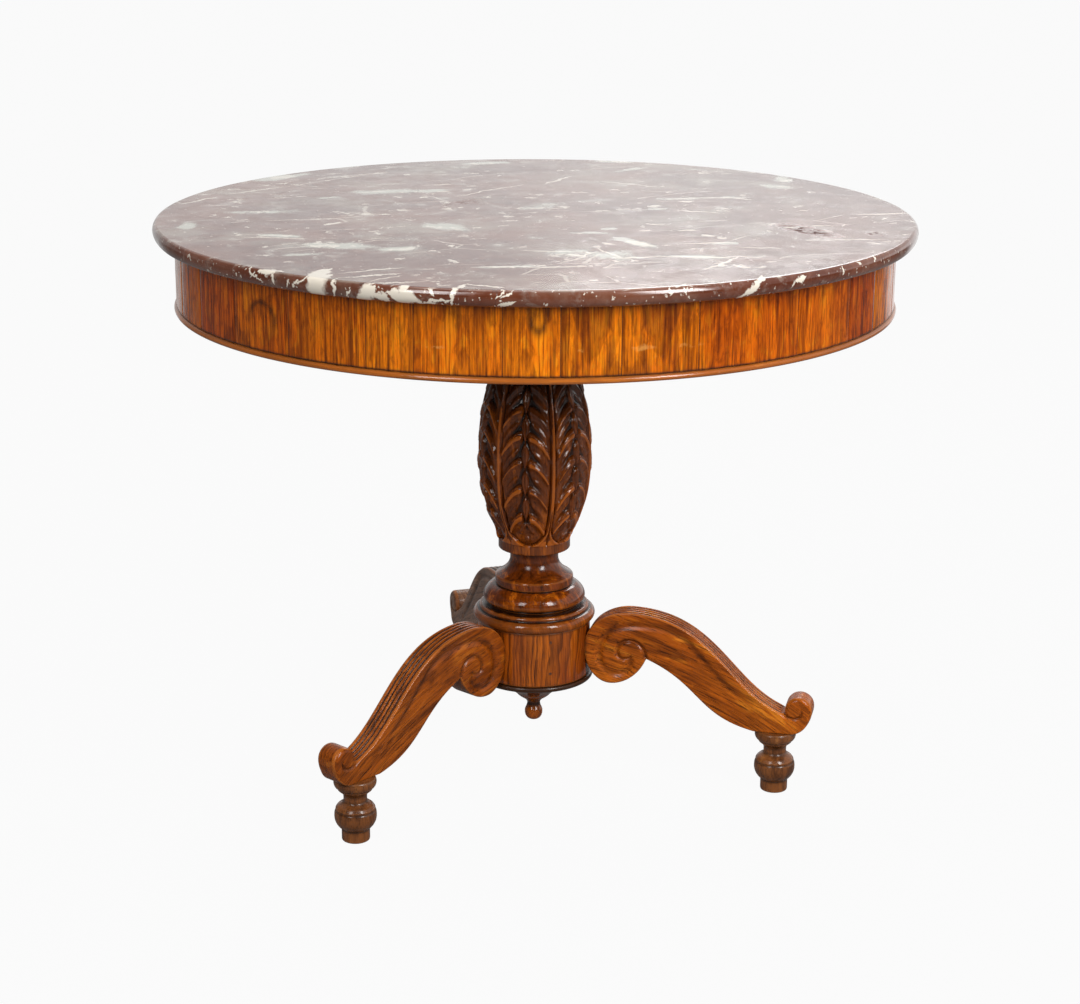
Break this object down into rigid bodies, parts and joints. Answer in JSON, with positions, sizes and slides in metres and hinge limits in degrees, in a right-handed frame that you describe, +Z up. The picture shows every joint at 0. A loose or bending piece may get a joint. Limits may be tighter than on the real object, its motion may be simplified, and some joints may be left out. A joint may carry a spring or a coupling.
{
  "type": "center table",
  "caption": "Round center table: loose marble slab on a veneered rim, carved baluster column on a drum with scroll legs and turned feet.",
  "frame": {"origin": "on the floor under the middle of the top, on the axis of the column", "axes": "+Z up along the column, +Y towards the back leg, X across"},
  "size_m": [0.9699, 0.97, 0.759],
  "materials": {
    "marble": "polished, red-brown with pale veins",
    "veneer": "french polished, upright grain",
    "carved_wood": "polished and worn, dark in the recesses",
    "turned_wood": "polished and worn",
    "carcass": "bare softwood, aged",
    "iron": "dull, slightly rusted"
  },
  "bodies": {
    "stand": {"rim_course_lower": "carcass", "rim_course_middle": "carcass", "rim_course_upper": "carcass", "apron_veneer": "veneer", "apron_bead": "turned_wood", "bearer_under": "carcass", "bearer_over": "carcass", "glue_blocks": "carcass", "bearer_screws": "iron", "capital": "turned_wood", "baluster": "carved_wood", "spigot_wedge": "carcass", "column_neck": "turned_wood", "drum_cap": "turned_wood", "drum": "turned_wood", "drum_base": "turned_wood", "drop": "turned_wood", "column_pegs": "carved_wood", "leg_back": "carved_wood", "leg_left": "carved_wood", "leg_right": "carved_wood", "foot_back": "turned_wood", "foot_left": "turned_wood", "foot_right": "turned_wood"},
    "slab": {"marble_top": "marble"}
  },
  "joints": [
    {"name": "top_lift", "type": "slide", "parent": "stand", "child": "slab", "axis": [0, 0, 1], "range_m": [0, 0.15]}
  ]
}
